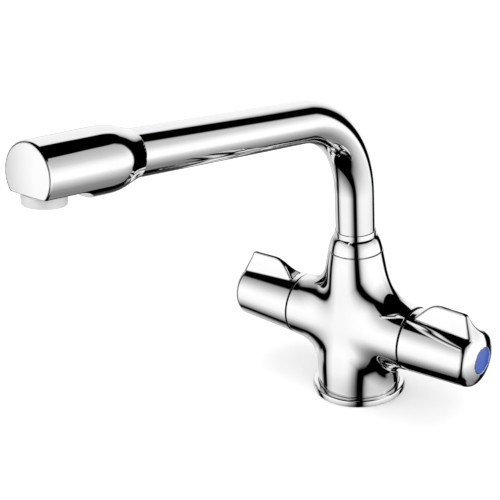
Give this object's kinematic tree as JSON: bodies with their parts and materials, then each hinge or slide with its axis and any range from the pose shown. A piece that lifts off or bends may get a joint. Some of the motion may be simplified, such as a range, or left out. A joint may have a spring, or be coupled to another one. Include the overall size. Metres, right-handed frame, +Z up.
{
  "type": "two handle kitchen mixer tap",
  "caption": "Deck mounted two handle kitchen mixer tap with a swivelling bent tubular spout and quarter turn valves.",
  "frame": {"origin": "centre of the base on the worktop, on the column's axis", "axes": "+Z up along the column; -Y along the spout towards the sink; +X towards the cold handle"},
  "size_m": [0.164, 0.2499, 0.2183],
  "materials": {
    "body_chrome": "bright polished chrome plate on cast brass",
    "collar_chrome": "bright polished chrome plate on turned brass",
    "spout_chrome": "bright polished chrome plate on drawn brass tube",
    "nozzle_chrome": "bright polished chrome plate",
    "handle_chrome": "bright polished chrome plate on cast metal",
    "brass": "machined brass, satin",
    "steel": "plain stainless steel, satin",
    "white_plastic": "moulded, smooth",
    "aerator_white": "moulded white, semi gloss",
    "aerator_mesh": "moulded, fine grain",
    "ceramic": "lapped ceramic, polished",
    "index_blue": "moulded blue, semi gloss",
    "index_red": "moulded red, semi gloss",
    "black_rubber": "moulded black rubber"
  },
  "bodies": {
    "tap_body": {"body_casting": "body_chrome", "base_ring": "body_chrome", "base_gasket": "black_rubber", "collar_nut": "collar_chrome", "spout_slip_ring": "white_plastic", "spout_thrust_washer": "white_plastic", "cold_fixed_disc": "ceramic", "cold_seat_washer": "black_rubber", "cold_valve_housing": "brass", "cold_housing_o_ring": "black_rubber", "hot_fixed_disc": "ceramic", "hot_seat_washer": "black_rubber", "hot_valve_housing": "brass", "hot_housing_o_ring": "black_rubber"},
    "spout": {"spout_tube": "spout_chrome", "spout_ferrule": "brass", "spout_o_ring_upper": "black_rubber", "spout_o_ring_lower": "black_rubber", "nozzle_shell": "nozzle_chrome", "aerator_housing": "aerator_white", "aerator_insert": "aerator_mesh", "aerator_washer": "black_rubber"},
    "cold_control": {"cold_handle": "handle_chrome", "cold_spline_bush": "white_plastic", "cold_handle_screw": "steel", "cold_index_disc": "index_blue", "cold_spindle": "brass", "cold_spindle_clip": "steel", "cold_spindle_o_ring": "black_rubber", "cold_moving_disc": "ceramic"},
    "hot_control": {"hot_handle": "handle_chrome", "hot_spline_bush": "white_plastic", "hot_handle_screw": "steel", "hot_index_disc": "index_red", "hot_spindle": "brass", "hot_spindle_clip": "steel", "hot_spindle_o_ring": "black_rubber", "hot_moving_disc": "ceramic"}
  },
  "joints": [
    {"name": "spout_swivel", "type": "hinge", "parent": "tap_body", "child": "spout", "pos_m": [0, 0, 0], "axis": [0, 0, 1], "continuous": true},
    {"name": "cold_handle_turn", "type": "hinge", "parent": "tap_body", "child": "cold_control", "pos_m": [0, 0, 0.0415], "axis": [1, 0, 0], "range_deg": [0, 90]},
    {"name": "hot_handle_turn", "type": "hinge", "parent": "tap_body", "child": "hot_control", "pos_m": [0, 0, 0.0415], "axis": [1, 0, 0], "range_deg": [0, 90]}
  ]
}
